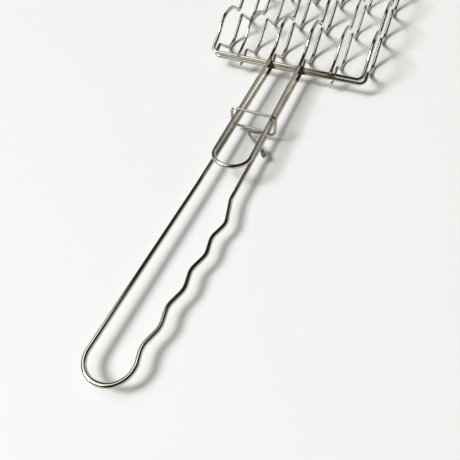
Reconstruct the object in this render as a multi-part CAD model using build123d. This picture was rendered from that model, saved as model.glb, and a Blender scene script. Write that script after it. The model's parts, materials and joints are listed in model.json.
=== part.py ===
from build123d import *
import os

# Two-leaf wire grilling basket with a long looped handle, a short looped handle and a sliding ring.
# Millimetres. +X is the right, +Y runs from the grip to the hinge, +Z is up.
# The origin is the bottom centre of the basket's bounding box, on the table it lies on.

# Wires
rod = 3.6                    # rails, side wires and both handles
rib_rod = 2.8                # intermediate ribs
ring_rod = 2.5               # latch ring
weld_sink = 0.3              # how far two crossing wires are melted into each other
butt_sink = 0.25             # how far a butted end is melted into the far rail

# Basket, seen from above
rail_width = 155.0           # between the centre lines of the two side wires
leg_spacing = 31.0           # between the centre lines of the two legs of a handle
rib_offset = 47.5            # from the middle of a leaf to an intermediate rib
corner_radius = 6.0
side_float = 3.0             # sideways play of the hinge: the upper leaf rests this far to the left
lower_weld_offset = -1.1     # the handle wires are welded a little off their leaf's middle
upper_weld_offset = 1.0

# Waves along the basket
cells = 4                    # pockets for the food
cell_pitch = 64.0
end_reach = 44.0             # from a rail to the middle of the first pocket
rail_gap = 0.3               # between the surfaces of the closed leaves' rails
arch_rise = 20.5             # upper rail to the tops of the arches
arch_flat = 24.0             # between the two shoulders of an arch
notch_rise = 7.0             # upper rail to the bend that parts two arches
ramp_rise = 7.5              # upper rail to the knee that starts the first arch
ramp_reach = 18.0            # front rail to that knee
scoop_depth = 11.7           # lower rail to the bottoms of the scoops
scoop_flat = 14.0            # between the two shoulders of a scoop
bump_rise = 6.8              # lower rail to the bend that parts two scoops
lip_rise = 4.5               # lower rail to the lip in front of the first scoop
lip_reach = 14.0             # front rail to that lip
shoulder_radius = 22.0       # bends at the shoulders of the arches
scoop_radius = 18.0          # bends at the shoulders of the scoops
bend_radius = 5.0

# Handles
long_handle = 338.0          # front rail to the centre line of the loop's end
long_loop_width = 33.0       # between the sides of the long handle's loop
long_loop_shift = -2.5       # from the handle's middle to the loop's middle
splay_start = 172.0          # front rail to where the left leg starts to lean out to the loop
short_lean = 2.8             # how far the short handle leans to the right at its loop
loop_round = 0.96            # bend radius of a loop, as a share of its half width
short_handle = 154.0
nub = 1.2                    # how far a lower rib's end stands out past a rail

# Finger grip on the right leg of the long handle
grip_waves = 4
grip_pitch = 30.7
grip_start = 308.0           # front rail to the valley nearest the handle's end
grip_valley = 11.0           # handle's middle to that valley
grip_swell = 4.8             # height of a swell above its valley
grip_lean = 1.9              # how much further out each wave stands than the last
grip_lead = 24.0             # from the first swell back to the straight leg
grip_radius = 15.0

# Latch ring
ring_reach = 88.0            # front rail to the ring at rest
ring_side_gap = 0.7          # between the ring and the outermost leg, each side
ring_shift = 0.6             # the ring hangs a little to the right
ring_top_gap = 0.4
ring_bottom_gap = 0.8
ring_radius = 4.5
tail_step = 2.4              # from the ring's plane to the strand that runs back
tail_bend = (-2.0, 7.0)      # sharp bend of that strand: x, and distance past the ring
tail_tip = (25.0, 30.0)      # outermost point of the thumb tab
tail_width = 4.4             # between the tab's two strands
tail_return = 9.0            # length of the tab's second strand

# Hinge clips
clip_width = 10.0
clip_sheet = 0.8
clip_play = 0.05             # radial play of the upper far rail in a clip

# Derived places, measured from the front rail's centre line and the table
half_width = rail_width / 2
leg_x = leg_spacing / 2
basket_length = 2 * end_reach + (cells - 1) * cell_pitch
lower_rail_z = rod / 2 + scoop_depth
upper_rail_z = lower_rail_z + rod + rail_gap
arch_z = upper_rail_z + arch_rise
lower_leg_z = lower_rail_z - rod + weld_sink
upper_leg_z = upper_rail_z + rod - weld_sink
lower_rib_z = lower_rail_z - (rod + rib_rod) / 2 + weld_sink
upper_rib_z = upper_rail_z + (rod + rib_rod) / 2 - weld_sink
clip_radius = rod / 2 + clip_play
clip_outer = clip_radius + clip_sheet
clip_x = (leg_x + rib_offset) / 2
nub_end = rod / 2 + nub
lower_shift = side_float / 2
upper_shift = -side_float / 2

# The bounding box runs from the end of the long handle to the ends of the lower ribs.
front_rail_y = (long_handle + rod / 2 - basket_length - nub_end) / 2

os.makedirs("parts", exist_ok=True)


def wire(points, radii, diameter):
    """A round wire along a bent line through the points, with a bend radius at each inner point."""
    path = FilletPolyline(*points, radius=radii)
    section = Plane(origin=path @ 0, z_dir=path % 0) * Circle(diameter / 2)
    return sweep(section, path=path)


def save(node, shape, shift):
    """Move a piece from the front rail's frame to the object's frame and write it."""
    placed = Pos(shift, front_rail_y, 0) * shape
    placed.label = node
    export_step(placed, f"parts/{node}.step")


def mirrored_in_length(points, radii):
    """Add the far half of a wave, the mirror of the near half about the basket's middle."""
    far = [(x, basket_length - y, z) for x, y, z in reversed(points)]
    return points + far, radii + radii[::-1]


def arches(x):
    """Bends of an upper wire: the knee, then a pair of shoulders per arch with notches between."""
    points = [(x, ramp_reach, upper_rail_z + ramp_rise)]
    radii = [shoulder_radius]
    for cell in range(cells):
        middle = end_reach + cell * cell_pitch
        if cell:
            points.append((x, middle - cell_pitch / 2, upper_rail_z + notch_rise))
            radii.append(bend_radius)
        points += [(x, middle - arch_flat / 2, arch_z), (x, middle + arch_flat / 2, arch_z)]
        radii += [shoulder_radius, shoulder_radius]
    points.append((x, basket_length - ramp_reach, upper_rail_z + ramp_rise))
    radii.append(shoulder_radius)
    return points, radii


def scoops(x, diameter):
    """Bends of a lower wire: the lip, then a pair of shoulders per scoop with bumps between."""
    floor = diameter / 2
    points = [(x, lip_reach, lower_rail_z + lip_rise)]
    radii = [bend_radius]
    for cell in range(cells):
        middle = end_reach + cell * cell_pitch
        if cell:
            points.append((x, middle - cell_pitch / 2, lower_rail_z + bump_rise))
            radii.append(bend_radius)
        points += [(x, middle - scoop_flat / 2, floor), (x, middle + scoop_flat / 2, floor)]
        radii += [scoop_radius, scoop_radius]
    points.append((x, basket_length - lip_reach, lower_rail_z + lip_rise))
    radii.append(bend_radius)
    return points, radii


def perimeter(wave, rail_z):
    """The closed outer wire of a leaf: two straight rails joined by two wavy sides."""
    points, radii = wave
    path = [(0, 0, rail_z), (half_width, 0, rail_z)] + points
    path += [(half_width, basket_length, rail_z), (0, basket_length, rail_z)]
    half = wire(path, [corner_radius] + radii + [corner_radius], rod)
    return half + mirror(half, about=Plane.YZ)


def reversed_wave(wave):
    """The same wave, bend by bend, from the hinge towards the handle."""
    points, radii = wave
    return points[::-1], radii[::-1]


def lower_run(x, diameter, level):
    """A lower wire from under the front rail, along its scoops, to its end under the far rail."""
    points, radii = scoops(x, diameter)
    start = [(x, bend_radius / 2, level)]
    end = [(x, basket_length - bend_radius / 2, level)]
    return start + points + end, [bend_radius] + radii + [bend_radius]


def upper_run(x, level):
    """An upper wire from the top of the front rail, along its arches, to the last knee."""
    points, radii = arches(x)
    return [(x, bend_radius / 2, level)] + points, [shoulder_radius] + radii


def far_butt(x):
    """Where an upper wire's end is butted against the far rail."""
    return (x, basket_length - rod / 2 + butt_sink, upper_rail_z)


def lower_rib(x):
    points, radii = lower_run(x, rib_rod, lower_rib_z)
    path = [(x, -nub_end, lower_rib_z)] + points + [(x, basket_length + nub_end, lower_rib_z)]
    return wire(path, radii, rib_rod)


def upper_rib(x):
    points, radii = upper_run(x, upper_rib_z)
    path = [(x, -rod / 2, upper_rib_z)] + points + [far_butt(x)]
    return wire(path, radii, rib_rod)


def finger_grip():
    """Bends of the wavy stretch of the right leg, from the handle's end forwards."""
    points = []
    for wave in range(grip_waves):
        valley_y = -grip_start + wave * grip_pitch
        valley_x = grip_valley + wave * grip_lean
        points.append((valley_x, valley_y, lower_leg_z))
        points.append((valley_x + grip_swell, valley_y + grip_pitch / 2, lower_leg_z))
    last_swell = points[-1][1]
    points.append((leg_x, last_swell + grip_lead, lower_leg_z))
    return points, [grip_radius] * len(points)


def loop_end(length, width, middle, level):
    """The two square bends whose radius turns them into the round end of a handle."""
    left = (middle - width / 2, -length, level)
    right = (middle + width / 2, -length, level)
    return [left, right], [loop_round * width / 2] * 2


def lower_handle_wire():
    """One wire: left wave, left leg, loop, finger grip, right leg and right wave."""
    left_points, left_radii = reversed_wave(lower_run(-leg_x, rod, lower_leg_z))
    right_points, right_radii = lower_run(leg_x, rod, lower_leg_z)
    loop_points, loop_radii = loop_end(long_handle, long_loop_width, long_loop_shift, lower_leg_z)
    grip_points, grip_radii = finger_grip()
    splay = [(-leg_x, -splay_start, lower_leg_z)]
    loop_side = long_loop_shift + long_loop_width / 2
    loop_top = [(loop_side, -long_handle + long_loop_width / 2 + 2, lower_leg_z)]
    ends = basket_length + nub_end
    path = [(-leg_x, ends, lower_leg_z)] + left_points + splay + loop_points + loop_top
    path += grip_points + right_points + [(leg_x, ends, lower_leg_z)]
    radii = left_radii + [grip_radius] + loop_radii + [bend_radius] + grip_radii + right_radii
    return Pos(lower_weld_offset, 0, 0) * wire(path, radii, rod)


def upper_handle_wire():
    """One wire: left wave, left leg, loop, right leg and right wave."""
    left_points, left_radii = reversed_wave(upper_run(-leg_x, upper_leg_z))
    right_points, right_radii = upper_run(leg_x, upper_leg_z)
    loop_points, loop_radii = loop_end(short_handle, leg_spacing, short_lean, upper_leg_z)
    path = [far_butt(-leg_x)] + left_points + loop_points + right_points + [far_butt(leg_x)]
    return Pos(upper_weld_offset, 0, 0) * wire(path, left_radii + loop_radii + right_radii, rod)


def hinge_clip(x):
    """A strip of sheet closed round both far rails, tight on the lower one."""
    separation = upper_rail_z - lower_rail_z - clip_play
    middle = (x, basket_length, (upper_rail_z + lower_rail_z + clip_play) / 2)
    plane = Plane(origin=middle, x_dir=(0, 0, 1), z_dir=(1, 0, 0))
    strip = SlotCenterToCenter(separation, 2 * clip_outer) - SlotCenterToCenter(separation, 2 * clip_radius)
    return extrude(plane * strip, amount=clip_width / 2, both=True)


def latch_ring():
    """One wire bent round both handles, with its end folded under them into a thumb tab."""
    half = leg_x + side_float / 2 + rod / 2 + ring_side_gap + ring_rod / 2
    left, right = ring_shift - half, ring_shift + half
    top = upper_leg_z + rod / 2 + ring_top_gap + ring_rod / 2
    bottom = lower_leg_z - rod / 2 - ring_bottom_gap - ring_rod / 2
    plane_y = -ring_reach
    back_y = plane_y - tail_step
    path = [
        (right - 2 * ring_radius, plane_y, bottom),
        (left, plane_y, bottom),
        (left, plane_y, top),
        (right, plane_y, top),
        (right, back_y, bottom),
        (tail_bend[0], plane_y - tail_bend[1] + tail_step, bottom),
        (tail_bend[0] + ring_rod, plane_y - tail_bend[1] - ring_rod, bottom),
        (tail_tip[0], plane_y - tail_tip[1], bottom),
        (tail_tip[0] - tail_width, plane_y - tail_tip[1] - tail_width / 4, bottom),
        (tail_tip[0] - tail_width - 0.5 * tail_return, plane_y - tail_tip[1] + 0.8 * tail_return, bottom),
    ]
    radii = [ring_radius] * 4 + [ring_rod * 0.6] * 2 + [ring_rod * 0.9] * 2
    return wire(path, radii, ring_rod)


save("lower_perimeter_wire", perimeter(scoops(half_width, rod), lower_rail_z), lower_shift)
save("lower_handle_wire", lower_handle_wire(), lower_shift)
save("lower_left_rib", lower_rib(-rib_offset), lower_shift)
save("lower_right_rib", lower_rib(rib_offset), lower_shift)
save("hinge_clip_left", hinge_clip(-clip_x), 0)
save("hinge_clip_right", hinge_clip(clip_x), 0)

save("upper_perimeter_wire", perimeter(arches(half_width), upper_rail_z), upper_shift)
save("upper_handle_wire", upper_handle_wire(), upper_shift)
save("upper_left_rib", upper_rib(-rib_offset), upper_shift)
save("upper_right_rib", upper_rib(rib_offset), upper_shift)

save("latch_ring", latch_ring(), 0)
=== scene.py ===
"""Looks of a hinged wire grilling basket: chrome-plated wire, burnt welds with painted shade beside them,
sheared ends and a pale studio.
"""

import json
import logging
import math
from dataclasses import dataclass, field
from enum import Enum
from typing import Any, ClassVar, Sequence

import bmesh
import bpy
from mathutils import Matrix, Vector, noise


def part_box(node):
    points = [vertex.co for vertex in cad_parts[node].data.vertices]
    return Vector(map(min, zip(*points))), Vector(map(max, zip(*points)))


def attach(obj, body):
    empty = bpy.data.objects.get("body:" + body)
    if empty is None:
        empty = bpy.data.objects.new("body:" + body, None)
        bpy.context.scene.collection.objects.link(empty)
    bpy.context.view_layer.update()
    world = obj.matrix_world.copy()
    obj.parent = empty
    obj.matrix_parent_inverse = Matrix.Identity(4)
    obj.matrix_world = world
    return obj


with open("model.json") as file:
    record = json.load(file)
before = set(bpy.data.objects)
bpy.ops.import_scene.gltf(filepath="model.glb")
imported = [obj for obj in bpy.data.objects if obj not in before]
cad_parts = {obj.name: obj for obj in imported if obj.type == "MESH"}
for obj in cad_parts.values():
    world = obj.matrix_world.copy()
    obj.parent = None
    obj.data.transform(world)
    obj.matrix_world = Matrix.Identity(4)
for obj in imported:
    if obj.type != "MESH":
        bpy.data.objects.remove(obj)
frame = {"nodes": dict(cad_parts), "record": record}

LOG = logging.getLogger("basket")
Number = int | float
Point = tuple[float, float, float]
BurnOrShade = tuple[Point, float]


class Value:
    """A shader socket that can be used in Python expressions."""

    def __init__(self, shader: "Shader", socket: bpy.types.NodeSocket) -> None:
        """Wraps one output socket.

        Args:
            shader: The shader the socket belongs to.
            socket: The output socket.
        """
        self.shader = shader
        self.socket = socket

    def _maths(self, operation: str, first: Any, second: Any = 0.0) -> "Value":
        """Adds one Math node.

        Args:
            operation: Name of the Math node's operation.
            first: First operand, a Value or a number.
            second: Second operand, a Value or a number.

        Returns:
            The result as a Value.
        """
        return self.shader.node("ShaderNodeMath", {"operation": operation}, {0: first, 1: second})

    def __add__(self, other: Any) -> "Value":
        """Sum of two values."""
        return self._maths("ADD", self, other)

    __radd__ = __add__

    def __mul__(self, other: Any) -> "Value":
        """Product of two values."""
        return self._maths("MULTIPLY", self, other)

    __rmul__ = __mul__

    def __sub__(self, other: Any) -> "Value":
        """Difference of two values."""
        return self._maths("SUBTRACT", self, other)

    def __rsub__(self, other: Any) -> "Value":
        """Difference with the number first."""
        return self._maths("SUBTRACT", other, self)

    def smaller(self, other: Any) -> "Value":
        """The smaller of two values."""
        return self._maths("MINIMUM", self, other)

    def clamped(self) -> "Value":
        """The value held between 0 and 1."""
        return self._maths("MINIMUM", self._maths("MAXIMUM", self, 0.0), 1.0)


class Graph:
    """A node tree with one method that adds any node."""

    def __init__(self, tree: bpy.types.NodeTree) -> None:
        """Takes over a node tree and empties it.

        Args:
            tree: The tree of a material or a world.
        """
        self.tree = tree
        self.tree.nodes.clear()

    def node(
        self,
        kind: str,
        settings: dict[str, Any] | None = None,
        inputs: dict[int | str, Any] | None = None,
        output: int | str | None = 0,
    ) -> Value | None:
        """Adds a node, sets it up, then fills its sockets.

        Args:
            kind: The node's type.
            settings: Properties of the node; "stops" fills a colour ramp.
            inputs: Socket name or number to a Value or a constant.
            output: The output socket to return.

        Returns:
            The chosen output as a Value.
        """
        node = self.tree.nodes.new(kind)
        for key, setting in (settings or {}).items():
            if key == "stops":
                self._fill_ramp(node, setting)
            else:
                setattr(node, key, setting)
        for key, given in (inputs or {}).items():
            self._feed(node.inputs[key], given)
        return Value(self, node.outputs[output]) if output is not None else None

    def _feed(self, socket: bpy.types.NodeSocket, given: Any) -> None:
        """Links a Value to a socket, or sets the socket's constant.

        Args:
            socket: The input socket.
            given: A Value, a number or a tuple.
        """
        if isinstance(given, Value):
            self.tree.links.new(given.socket, socket)
        else:
            socket.default_value = given

    @staticmethod
    def _fill_ramp(node: bpy.types.Node, stops: Sequence[tuple[float, tuple[float, ...]]]) -> None:
        """Writes the stops of a colour ramp.

        Args:
            node: The ramp node.
            stops: Pairs of place and colour.
        """
        elements = node.color_ramp.elements
        while len(elements) < len(stops):
            elements.new(0.5)
        for element, (place, colour) in zip(elements, stops):
            element.position = place
            element.color = colour

    def remap(self, value: Value, start: Number, end: Number) -> Value:
        """A smooth step that is 0 at start and 1 at end."""
        inputs = {"Value": value, "From Min": float(start), "From Max": float(end)}
        return self.node("ShaderNodeMapRange", {"interpolation_type": "SMOOTHSTEP"}, inputs)

    def mix(self, factor: Any, first: Any, second: Any) -> Value:
        """A mix of two colours.

        Args:
            factor: 0 gives the first colour, 1 the second.
            first: A colour.
            second: A colour.

        Returns:
            The mixed colour.
        """
        return self.node("ShaderNodeMix", {"data_type": "RGBA"}, {0: factor, 6: first, 7: second}, 2)


class Shader(Graph):
    """A material built round one principled surface."""

    def __init__(self, name: str) -> None:
        """Starts a material with only its output and principled surface.

        Args:
            name: The material's name.
        """
        self.material = bpy.data.materials.new(name)
        self.material.use_nodes = True
        super().__init__(self.material.node_tree)
        output = self.tree.nodes.new("ShaderNodeOutputMaterial")
        self.surface = self.tree.nodes.new("ShaderNodeBsdfPrincipled")
        self.tree.links.new(self.surface.outputs["BSDF"], output.inputs["Surface"])

    def place(self) -> Value:
        """Place on the object, in metres, which stays put when a body moves."""
        return self.node("ShaderNodeTexCoord", output="Object")

    def stretched(self, scale: Point) -> Value:
        """Place on the object scaled along each axis.

        Args:
            scale: Factor along X, Y and Z.

        Returns:
            The scaled place.
        """
        return self.node("ShaderNodeVectorMath", {"operation": "MULTIPLY"}, {0: self.place(), 1: scale})

    def noise(self, scale: Number, detail: Number = 3.0, at: Value | None = None) -> Value:
        """Smooth noise between 0 and 1.

        Args:
            scale: Cells per metre.
            detail: Octaves.
            at: Where it is read, the plain place if left out.

        Returns:
            The noise as a Value.
        """
        inputs = {"Vector": at or self.place(), "Scale": float(scale), "Detail": float(detail)}
        return self.node("ShaderNodeTexNoise", None, inputs, "Fac")

    def ramp(self, value: Value, stops: Sequence[tuple[float, tuple[float, ...]]]) -> Value:
        """A colour ramp over a value."""
        return self.node("ShaderNodeValToRGB", {"stops": stops}, {"Fac": value}, "Color")

    def distance(self, point: Point) -> Value:
        """Distance from a point of the object, in metres."""
        given = {0: self.place(), 1: tuple(point)}
        return self.node("ShaderNodeVectorMath", {"operation": "DISTANCE"}, given, "Value")

    def burnt(self, burns_and_shade: Sequence[BurnOrShade]) -> Value:
        """Distance from the nearest spot, burn and painted shade alike, as a multiple of that spot's size.

        Args:
            burns_and_shade: Where each spot sits, burn and painted shade alike, with its size, in metres.

        Returns:
            The distance as a Value.
        """
        nearest: Value | None = None
        for point, size in burns_and_shade:
            here = self.distance(point) * (1.0 / size)
            nearest = here if nearest is None else nearest.smaller(here)
        return nearest

    def bump(self, height: Value, distance: Number, strength: Number) -> Value:
        """A bump that feeds Normal."""
        inputs = {"Height": height, "Distance": float(distance), "Strength": float(strength)}
        return self.node("ShaderNodeBump", None, inputs, "Normal")

    def set(self, **given: Any) -> None:
        """Fills sockets of the principled shader; an underscore stands for a space."""
        for name, value in given.items():
            self._feed(self.surface.inputs[name.replace("_", " ")], value)


class Plating(Enum):
    """How bright a wire's chrome is."""

    BRIGHT = 0.02
    SATIN = 0.10
    WORN = 0.075


@dataclass(frozen=True)
class ChromeFinish:
    """Chrome-plated wire with drawing marks, stains, heat tint round its welds and, where given, painted
    shade beside them.

    Args:
        name: The material's name.
        plating: How bright the chrome is.
        burns_and_shade: Places and sizes of each weld's burn and of any painted shade spots, in metres.
        tint: Colour of the clean chrome.
        handled: Range along Y where hands have dulled the wire, or nothing.
    """

    name: str
    plating: Plating = Plating.BRIGHT
    burns_and_shade: tuple[BurnOrShade, ...] = ()
    tint: tuple[float, float, float, float] = (0.55, 0.53, 0.475, 1.0)
    handled: tuple[float, float] | None = None

    def build(self) -> bpy.types.Material:
        """Builds the node tree.

        Returns:
            The finished material.
        """
        shader = Shader(self.name)
        blotches = shader.noise(85.0, 4.0)
        cloudy = shader.remap(blotches, 0.42, 0.72)
        drawn = shader.noise(1.0, 2.0, shader.stretched((1500.0, 45.0, 1500.0)))
        pits = shader.remap(shader.noise(1900.0, 2.0), 0.66, 0.74)
        warm = (0.40, 0.375, 0.31, 1.0)
        colour = shader.mix(cloudy * 0.42, self.tint, warm)
        colour = shader.mix(pits * 0.55, colour, (0.24, 0.21, 0.17, 1.0))
        rough = self.plating.value + cloudy * 0.035 + drawn * 0.02 + pits * 0.2
        if self.handled:
            along = shader.node("ShaderNodeSeparateXYZ", None, {"Vector": shader.place()}, "Y")
            start, end = self.handled
            held = shader.remap(along, start, start + 0.03) * (1 - shader.remap(along, end - 0.03, end))
            rough = rough + held * shader.remap(blotches, 0.3, 0.7) * 0.05
        # The spots are weld burns and also painted shade beside the front welds; both get the straw tint,
        # the dark core and the heat tint.
        if self.burns_and_shade:
            ragged = (shader.noise(420.0, 3.0) - 0.5) * 0.9
            away = shader.burnt(self.burns_and_shade)
            core = 1 - shader.remap(away, 0.9, 1.9)
            halo = 1 - shader.remap(away, 1.2, 3.2)
            scorch = (core + core * ragged).clamped()
            tinted = (halo * 0.75 + halo * ragged).clamped()
            straw = shader.ramp(
                tinted,
                (
                    (0.0, self.tint),
                    (0.35, (0.50, 0.41, 0.26, 1.0)),
                    (0.7, (0.40, 0.29, 0.17, 1.0)),
                    (1.0, (0.26, 0.17, 0.10, 1.0)),
                ),
            )
            warmed = 1 - shader.remap(away, 2.0, 14.0)
            colour = shader.mix(warmed * 0.35, colour, (0.54, 0.48, 0.35, 1.0))
            colour = shader.mix(tinted, colour, straw)
            colour = shader.mix(scorch, colour, (0.020, 0.012, 0.007, 1.0))
            rough = rough + tinted * 0.10 + scorch * 0.30
            shader.set(Metallic=1 - scorch * 0.45)
        else:
            shader.set(Metallic=1.0)
        relief = drawn * 0.5 + blotches * 0.6 - pits * 0.5
        shader.set(Base_Color=colour, Roughness=rough.clamped(), Normal=shader.bump(relief, 0.00006, 0.30))
        return shader.material


@dataclass(frozen=True)
class WeldFinish:
    """Scorched weld metal: dark brown scale with brighter spatter."""

    name: str = "weld_scale"

    def build(self) -> bpy.types.Material:
        """Builds the node tree.

        Returns:
            The finished material.
        """
        shader = Shader(self.name)
        grain = shader.noise(1400.0, 5.0)
        scale = shader.remap(shader.noise(650.0, 4.0), 0.38, 0.62)
        colour = shader.mix(scale, (0.020, 0.012, 0.008, 1.0), (0.12, 0.072, 0.04, 1.0))
        colour = shader.mix(shader.remap(grain, 0.62, 0.75), colour, (0.55, 0.50, 0.42, 1.0))
        relief = grain * 0.7 + scale * 0.4
        shader.set(Base_Color=colour, Metallic=0.75, Roughness=0.30 + grain * 0.25)
        shader.set(Normal=shader.bump(relief, 0.0002, 0.6))
        return shader.material


@dataclass(frozen=True)
class ShearedFinish:
    """Bare steel of a sheared wire end, with shear lines and rust."""

    name: str = "sheared_steel"

    def build(self) -> bpy.types.Material:
        """Builds the node tree.

        Returns:
            The finished material.
        """
        shader = Shader(self.name)
        lines = shader.noise(1.0, 3.0, shader.stretched((700.0, 700.0, 5200.0)))
        rust = shader.remap(shader.noise(900.0, 4.0), 0.52, 0.72)
        colour = shader.mix(lines, (0.22, 0.21, 0.20, 1.0), (0.50, 0.49, 0.46, 1.0))
        colour = shader.mix(rust * 0.6, colour, (0.17, 0.085, 0.04, 1.0))
        shader.set(Base_Color=colour, Metallic=0.9, Roughness=0.28 + lines * 0.25)
        shader.set(Normal=shader.bump(lines, 0.0001, 0.5))
        return shader.material


@dataclass(frozen=True)
class TableFinish:
    """The pale matt table top."""

    name: str = "pale_table"
    colour: tuple[float, float, float, float] = (0.86, 0.865, 0.86, 1.0)

    def build(self) -> bpy.types.Material:
        """Builds the node tree.

        Returns:
            The finished material.
        """
        shader = Shader(self.name)
        cloud = shader.noise(3.0, 3.0)
        fibre = shader.noise(900.0, 2.0)
        colour = shader.mix(cloud * 0.5, self.colour, (0.84, 0.85, 0.855, 1.0))
        shader.set(Base_Color=colour, Roughness=0.62 + fibre * 0.12, Metallic=0.0)
        shader.set(Normal=shader.bump(fibre, 0.0001, 0.15))
        return shader.material


def vertices_near(node: str, y: float, reach: float) -> list[Vector]:
    """Vertices of a CAD node near a distance along the basket.

    Args:
        node: Name of the CAD node.
        y: Place along the basket, in metres.
        reach: How far from it a vertex may be.

    Returns:
        The vertices found.
    """
    mesh = frame["nodes"][node].data
    return [v.co.copy() for v in mesh.vertices if abs(v.co.y - y) < reach]


def hinge_place() -> Vector:
    """Place of the hinge's axis, which is the centre line of the upper leaf's far rail."""
    joints = {joint["name"]: joint for joint in frame["record"]["behaviour"]["joints"]}
    return Vector(joints["leaf_hinge"]["pos_m"])


def thick_radius() -> float:
    """Radius of the rails and handles, from the far rail's outside and the hinge's axis in it."""
    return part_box("upper_perimeter_wire")[1][1] - hinge_place().y


def legs_at(node: str, y: float) -> list[float]:
    """Places across the basket where the wires of a node pass a rail.

    Args:
        node: Name of a handle wire or a rib.
        y: Place of the rail along the basket.

    Returns:
        One X for each wire, from left to right.
    """
    found = sorted(v.x for v in vertices_near(node, y, 0.008))
    groups: list[list[float]] = []
    for x in found:
        if groups and x - groups[-1][-1] < 0.004:
            groups[-1].append(x)
        else:
            groups.append([x])
    return [(group[0] + group[-1]) / 2 for group in groups]


def new_object(name: str, mesh: bpy.types.Mesh, material: bpy.types.Material) -> bpy.types.Object:
    """Links a mesh into the scene with one material.

    Args:
        name: Name of the piece.
        mesh: Its mesh.
        material: Its finish.

    Returns:
        The new object.
    """
    piece = bpy.data.objects.new(name, mesh)
    bpy.context.scene.collection.objects.link(piece)
    mesh.materials.append(material)
    for polygon in mesh.polygons:
        polygon.use_smooth = True
    return piece


def dress(node: str, material: bpy.types.Material) -> None:
    """Gives every material slot of a CAD node one finish.

    Args:
        node: Name of the CAD node.
        material: The finish.
    """
    carried = frame["nodes"][node]
    if not carried.material_slots:
        carried.data.materials.append(material)
    for material_slot in carried.material_slots:
        material_slot.material = material


@dataclass
class WeldBead:
    """The little collar of metal squeezed out where two crossing wires were spot-welded."""

    name: str
    centre: Point
    across: float
    along: float
    height: float
    seed: float

    def build(self, material: bpy.types.Material, body: str, slot: str) -> bpy.types.Object:
        """Builds a lumpy flattened bead and lets it ride on its leaf.

        Args:
            material: The weld finish.
            body: The body it moves with.
            slot: The record's material slot; not used.

        Returns:
            The bead.
        """
        shape = bmesh.new()
        bmesh.ops.create_icosphere(shape, subdivisions=4, radius=1.0)
        for vertex in shape.verts:
            way = vertex.co.normalized()
            lump = noise.noise(way * 2.3 + Vector((self.seed, 0.0, 0.0)))
            fine = noise.noise(way * 7.0 + Vector((0.0, self.seed, 0.0)))
            size = 1.0 + 0.16 * lump + 0.05 * fine
            vertex.co = Vector((way.x * self.across, way.y * self.along, way.z * self.height)) * size
        mesh = bpy.data.meshes.new(self.name)
        shape.to_mesh(mesh)
        shape.free()
        mesh.transform(Matrix.Translation(Vector(self.centre)))
        bead = new_object(self.name, mesh, material)
        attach(bead, body)
        return bead


@dataclass
class ShearedEnd:
    """The slightly domed face with a rolled burr that a cropping tool leaves on a wire's end."""

    name: str
    centre: Point
    direction: Point
    radius: float
    burr: float = 0.00012

    def build(self, material: bpy.types.Material, body: str, slot: str) -> bpy.types.Object:
        """Builds the end face as rings from its middle to its rim.

        Args:
            material: The sheared finish.
            body: The body it moves with.
            slot: The record's material slot; not used.

        Returns:
            The end face.
        """
        sides = 40
        dome = ((0.25, 0.10), (0.5, 0.13), (0.75, 0.08), (0.9, 0.02))
        rim = ((0.97, 0.5), (1.0, 0.9), (1.015, -0.6))
        shape = bmesh.new()
        middle = shape.verts.new((0.0, 0.0, self.burr * 0.1))
        rings: list[list[bmesh.types.BMVert]] = []
        for share, rise in dome + rim:
            ring = []
            for step in range(sides):
                angle = 2 * math.pi * step / sides
                spot = Vector((math.cos(angle) * 2, math.sin(angle) * 2, share * 3))
                ragged = 1.0 + 0.35 * noise.noise(spot)
                reach = self.radius * share
                place = (math.cos(angle) * reach, math.sin(angle) * reach, self.burr * rise * ragged)
                ring.append(shape.verts.new(place))
            rings.append(ring)
        for step in range(sides):
            shape.faces.new((middle, rings[0][step], rings[0][(step + 1) % sides]))
        for inner, outer in zip(rings, rings[1:]):
            for step in range(sides):
                after = (step + 1) % sides
                shape.faces.new((inner[step], outer[step], outer[after], inner[after]))
        bmesh.ops.recalc_face_normals(shape, faces=shape.faces)
        mesh = bpy.data.meshes.new(self.name)
        shape.to_mesh(mesh)
        shape.free()
        turn = Vector((0, 0, 1)).rotation_difference(Vector(self.direction)).to_matrix().to_4x4()
        mesh.transform(Matrix.Translation(Vector(self.centre)) @ turn)
        end = new_object(self.name, mesh, material)
        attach(end, body)
        return end


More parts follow.
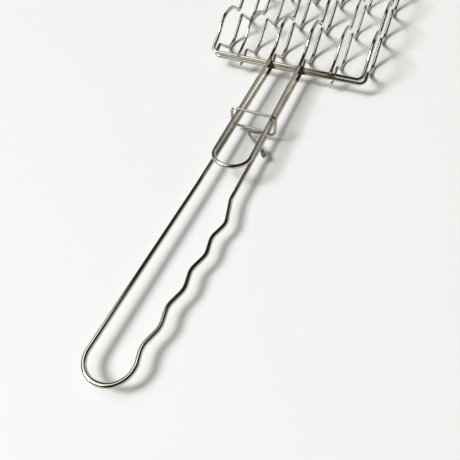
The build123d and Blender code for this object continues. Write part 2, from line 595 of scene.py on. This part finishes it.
@dataclass
class Leaf:
    """One leaf of the basket: its perimeter wire, its handle wire and its two ribs."""

    CROSSING_WIRES: ClassVar[tuple[str, ...]] = ("left_rib", "left_leg", "right_leg", "right_rib")

    side: str
    body: str
    bead_at_front: float
    scorch: dict[str, float]
    far_scorch: float = 0.0015
    faint_burn: float = 0.0012
    rail_share: float = 0.75
    # Size share and offsets of the painted shade put beside each strongly burnt front weld.
    shade_share: float = 0.62
    shade_aside: float = 0.0022
    shade_ahead: float = 0.0010
    held: tuple[float, float] = (-0.31, -0.12)
    rib_bead: float = 0.0022
    leg_bead: float = 0.0029
    bead_height: float = 0.0009
    bead_squash: float = 0.85
    pieces: list[bpy.types.Object] = field(default_factory=list)

    def node(self, part: str) -> str:
        """Name of one of the leaf's CAD nodes."""
        return f"{self.side}_{part}"

    def rails(self) -> tuple[float, float]:
        """Places of the front and far rails' centre lines along the basket."""
        low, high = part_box(self.node("perimeter_wire"))
        return low[1] + self.radius(), high[1] - self.radius()

    def radius(self) -> float:
        """Radius of the thick wire."""
        return thick_radius()

    def rail_height(self) -> float:
        """Height of the leaf's rails above the table.

        Returns:
            The height of the rails' centre line.
        """
        front, _ = self.rails()
        heights = [v.z for v in vertices_near(self.node("perimeter_wire"), front, 0.0025)]
        if self.side == "lower":
            return (min(heights) + max(heights)) / 2
        return min(heights) + self.radius()

    def crossings(self) -> list[tuple[str, float]]:
        """The wires that cross the front rail, from left to right.

        Returns:
            Pairs of a short name and a place across the basket.
        """
        front, _ = self.rails()
        left_leg, right_leg = legs_at(self.node("handle_wire"), front)[:2]
        left_rib = legs_at(self.node("left_rib"), front)[0]
        right_rib = legs_at(self.node("right_rib"), front)[0]
        return list(zip(self.CROSSING_WIRES, (left_rib, left_leg, right_leg, right_rib)))

    def welds(self) -> list[tuple[str, Point]]:
        """Places of the spot welds on both rails.

        Returns:
            Pairs of a name and a point.
        """
        front, far = self.rails()
        height = self.rail_height()
        points = []
        for name, x in self.crossings():
            points.append((f"{name}_front", (x, front, height + self.bead_at_front)))
            if self.side == "upper":
                points.append((f"{name}_far", (x, far - self.radius(), height)))
            else:
                points.append((f"{name}_far", (x, far, height + self.bead_at_front)))
        return points

    def burn_size(self, weld: str) -> float:
        """Size of the burn round a weld, in metres."""
        return self.scorch.get(weld, self.far_scorch)

    def painted_corner_shade(self) -> list[BurnOrShade]:
        """Painted shade where the wires meet the front rail, to the right of and in front of each strongly
        burnt front weld, drawn with the burn colours.

        Returns:
            The painted shade spots, each a place and a size.
        """
        found = []
        for name, (x, y, z) in self.welds():
            size = self.burn_size(name)
            if name.endswith("front") and size > self.faint_burn:
                # Painted shade: a dark spot to the right of and in front of the weld, where the wire meets
                # the rail.
                shade_spot = (x + self.shade_aside, y - self.shade_ahead, z)
                found.append((shade_spot, size * self.shade_share))
        return found

    def streaks(self) -> list[BurnOrShade]:
        """Burns that run down the lower handle's legs from the front rail.

        Returns:
            The burns, each a place and a size.
        """
        if self.side == "upper":
            return []
        found = []
        for name, (x, y, z) in self.welds():
            if name.endswith("leg_front"):
                size = self.burn_size(name)
                for step in range(3):
                    found.append(((x, y - step * size, z - self.radius()), size * (1.0 - 0.2 * step)))
        return found

    def dress_nodes(self) -> None:
        """Gives the leaf's CAD nodes their chrome, burnt at their own welds, with painted shade beside the
        front welds on the rails and the handle.
        """
        welds = self.welds()
        rails = [(point, self.burn_size(name) * self.rail_share) for name, point in welds]
        # Painted shade beside the front welds goes on the rails and on the handle.
        rails += self.painted_corner_shade()
        finish = ChromeFinish(f"{self.side}_rail_chrome_painted_shade", burns_and_shade=tuple(rails))
        dress(self.node("perimeter_wire"), finish.build())
        legs = [(point, self.burn_size(name)) for name, point in welds if "leg" in name]
        held = self.held if self.side == "lower" else None
        burns_and_shade = tuple(legs + self.painted_corner_shade() + self.streaks())
        finish = ChromeFinish(f"{self.side}_handle_chrome_painted_shade", burns_and_shade=burns_and_shade, handled=held)
        dress(self.node("handle_wire"), finish.build())
        for rib in ("left_rib", "right_rib"):
            burns_and_shade = tuple((point, self.burn_size(name)) for name, point in welds if name.startswith(rib))
            finish = ChromeFinish(f"{self.side}_{rib}_chrome", Plating.SATIN, burns_and_shade)
            dress(self.node(rib), finish.build())
            LOG.info("%s dressed", self.node(rib))

    def add_beads(self, scale: bpy.types.Material, plated: bpy.types.Material) -> None:
        """Adds a bead at every weld, scorched where the weld has burnt.

        Args:
            scale: The scorched finish.
            plated: The finish of a clean weld.
        """
        for count, (name, centre) in enumerate(self.welds()):
            butted = self.side == "upper" and name.endswith("far")
            across = self.rib_bead if "rib" in name else self.leg_bead
            along, height = across * self.bead_squash, self.bead_height
            if butted:
                along, height = self.bead_height, across
            bead = WeldBead(f"{self.side}_{name}_weld", centre, across, along, height, 1.7 * count)
            finish = scale if self.burn_size(name) > self.faint_burn else plated
            self.pieces.append(bead.build(finish, self.body, "frame_wire"))
            LOG.info("weld bead %s", bead.name)

    def end_height(self, part: str, y: float) -> float:
        """Height of a wire's centre line at its open end.

        Args:
            part: The part whose wire ends there.
            y: Place of the end along the basket.

        Returns:
            The height above the table.
        """
        heights = [v.z for v in vertices_near(self.node(part), y, 0.0003)]
        return (min(heights) + max(heights)) / 2

    def add_end(
        self, name: str, centre: Point, radius: float, facing: int, finish: bpy.types.Material
    ) -> None:
        """Adds one sheared end face.

        Args:
            name: What the end belongs to.
            centre: The middle of the end.
            radius: The wire's radius.
            facing: 1 where the end faces the hinge, -1 where it faces the grip.
            finish: The sheared finish.
        """
        slot = "rib_wire" if "rib" in name else "frame_wire"
        end = ShearedEnd(f"{self.side}_{name}", centre, (0, facing, 0), radius)
        self.pieces.append(end.build(finish, self.body, slot))
        LOG.info("sheared end %s", end.name)

    def add_ends(self, finish: bpy.types.Material) -> None:
        """Adds the sheared faces of the leaf's open wire ends.

        Args:
            finish: The sheared finish.
        """
        for rib in ("left_rib", "right_rib"):
            low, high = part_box(self.node(rib))
            radius = (high[0] - low[0]) / 2
            middle = (low[0] + high[0]) / 2
            front = (middle, low[1], self.end_height(rib, low[1]))
            self.add_end(f"{rib}_front_end", front, radius, -1, finish)
            if self.side == "lower":
                far = (middle, high[1], self.end_height(rib, high[1]))
                self.add_end(f"{rib}_far_end", far, radius, 1, finish)
        if self.side == "lower":
            end_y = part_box(self.node("handle_wire"))[1][1]
            height = self.end_height("handle_wire", end_y)
            for count, x in enumerate(legs_at(self.node("handle_wire"), end_y)):
                self.add_end(f"leg_end_{count}", (x, end_y, height), self.radius(), 1, finish)

    def build(
        self, scale: bpy.types.Material, plated: bpy.types.Material, sheared: bpy.types.Material
    ) -> None:
        """Builds and dresses the whole leaf.

        Args:
            scale: The scorched weld finish.
            plated: The clean weld finish.
            sheared: The sheared finish.
        """
        self.dress_nodes()
        self.add_beads(scale, plated)
        self.add_ends(sheared)


@dataclass
class LatchRing:
    """The sliding ring with its thumb tab."""

    body: str = "latch_ring"
    node: str = "latch_ring"

    def build(self) -> None:
        """Dresses the ring in worn chrome."""
        dress(self.node, ChromeFinish("ring_chrome", Plating.WORN, tint=(0.46, 0.445, 0.41, 1.0)).build())
        LOG.info("latch ring dressed")


@dataclass
class HingeClips:
    """The two strips rolled round the far rails."""

    nodes: tuple[str, str] = ("hinge_clip_left", "hinge_clip_right")

    def build(self) -> None:
        """Dresses both strips in satin chrome."""
        material = ChromeFinish("strip_chrome", Plating.SATIN, tint=(0.60, 0.59, 0.57, 1.0)).build()
        for node in self.nodes:
            dress(node, material)
            LOG.info("hinge clip %s dressed", node)


@dataclass
class Studio:
    """The pale table, the light round it and the camera."""

    focal_share: float = 450.0 / 460.0
    elevation: float = 51.98
    azimuth: float = -25.26
    roll: float = -3.16
    stand: Point = (0.1134, -0.3883, 0.2523)
    table_size: float = 6.0
    room: float = 0.024
    wall: float = 1.90
    glow: float = 0.50
    back: float = 0.58
    key_place: Point = (-7.4, -4.4, 8.8)
    key_aim: Point = (0.0, -0.05, 0.0)
    key_size: tuple[float, float] = (4.0, 4.0)
    key_power: float = 1410.0
    key_colour: Point = (0.995, 1.0, 1.0)

    def add_table(self) -> None:
        """Adds the table top under the basket."""
        mesh = bpy.data.meshes.new("table_top")
        half = self.table_size / 2
        painted_corner_shade = [(-half, -half, 0), (half, -half, 0), (half, half, 0), (-half, half, 0)]
        mesh.from_pydata(painted_corner_shade, [], [(0, 1, 2, 3)])
        table = bpy.data.objects.new("table_top", mesh)
        bpy.context.scene.collection.objects.link(table)
        mesh.materials.append(TableFinish().build())

    def add_lamp(self, name: str, place: Point, aim: Point, size: tuple[float, float], power: float,
                 colour: Point = (1.0, 1.0, 1.0)) -> bpy.types.Object:
        """Adds one soft rectangular lamp.

        Args:
            name: The lamp's name.
            place: Where it stands.
            aim: The point it faces.
            size: Width and height.
            power: Watts.
            colour: Colour of its light.

        Returns:
            The lamp.
        """
        light = bpy.data.lights.new(name, "AREA")
        light.shape = "RECTANGLE"
        light.size, light.size_y = size
        light.energy = power
        light.color = colour
        lamp = bpy.data.objects.new(name, light)
        bpy.context.scene.collection.objects.link(lamp)
        lamp.location = place
        lamp.rotation_euler = (Vector(aim) - Vector(place)).to_track_quat("-Z", "Y").to_euler()
        return lamp

    def add_world(self) -> None:
        """Adds the room: a pale wall on the left, a dimmer one behind, a faint glow on the right."""
        world = bpy.data.worlds.new("soft_room")
        bpy.context.scene.world = world
        world.use_nodes = True
        graph = Graph(world.node_tree)
        split = graph.node("ShaderNodeTexCoord", output="Generated")
        x, y, z = (graph.node("ShaderNodeSeparateXYZ", None, {"Vector": split}, axis) for axis in "XYZ")
        wall = graph.remap(x, -0.15, -0.26) * graph.remap(y, 0.40, 0.25) * graph.remap(z, 0.45, 0.75)
        glow = graph.remap(x, 0.30, 0.60) * graph.remap(z, 0.65, 0.25)
        back = graph.remap(y, 0.62, 0.78) * graph.remap(x, -0.45, -0.15) * graph.remap(x, 0.62, 0.42)
        level = self.room + wall * self.wall + glow * self.glow + back * self.back
        tone = graph.mix(wall.clamped(), (1.0, 0.94, 0.81, 1.0), (1.0, 1.0, 0.99, 1.0))
        sky = graph.node("ShaderNodeBackground", None, {"Color": tone, "Strength": level}, "Background")
        graph.node("ShaderNodeOutputWorld", None, {"Surface": sky}, output=None)

    def add_camera(self) -> None:
        """Adds the camera at its stand over the handle, looking down at the front rail."""
        low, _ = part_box("upper_perimeter_wire")
        origin = Vector((0.0, low[1] + thick_radius(), hinge_place().z))
        up_angle, side_angle, roll = (math.radians(a) for a in (self.elevation, self.azimuth, self.roll))
        flat = math.cos(up_angle)
        forward = Vector((math.sin(side_angle) * flat, math.cos(side_angle) * flat, -math.sin(up_angle)))
        right = forward.cross(Vector((0, 0, 1))).normalized()
        down = forward.cross(right)
        turned_right = right * math.cos(roll) - down * math.sin(roll)
        turned_down = right * math.sin(roll) + down * math.cos(roll)
        axes = Matrix((turned_right, -turned_down, -forward)).transposed().to_4x4()
        data = bpy.data.cameras.new("camera")
        data.sensor_fit = "HORIZONTAL"
        data.sensor_width = 36.0
        data.lens = 36.0 * self.focal_share
        data.clip_start = 0.01
        camera = bpy.data.objects.new("camera", data)
        bpy.context.scene.collection.objects.link(camera)
        camera.matrix_world = Matrix.Translation(origin + Vector(self.stand)) @ axes
        bpy.context.scene.camera = camera

    def build(self) -> None:
        """Builds the whole studio."""
        bpy.context.scene.view_settings.view_transform = "Standard"
        self.add_table()
        self.add_world()
        self.add_lamp("key", self.key_place, self.key_aim, self.key_size, self.key_power, self.key_colour)
        self.add_camera()
        LOG.info("studio built")


def main() -> None:
    """Builds every sub-assembly in order."""
    logging.basicConfig(level=logging.INFO, format="%(name)s %(message)s")
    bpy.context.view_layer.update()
    scale = WeldFinish().build()
    plated = ChromeFinish("plated_weld", Plating.SATIN).build()
    sheared = ShearedFinish().build()
    front_welds = [f"{wire}_front" for wire in Leaf.CROSSING_WIRES]
    lower = dict(zip(front_welds, (0.0009, 0.0040, 0.0044, 0.0011)))
    upper = dict(zip(front_welds, (0.0007, 0.0024, 0.0031, 0.0031)))
    Leaf("lower", "lower_frame", -0.0016, lower).build(scale, plated, sheared)
    Leaf("upper", "upper_frame", 0.0016, upper).build(scale, plated, sheared)
    HingeClips().build()
    LatchRing().build()
    Studio().build()


if __name__ == "__main__":
    main()
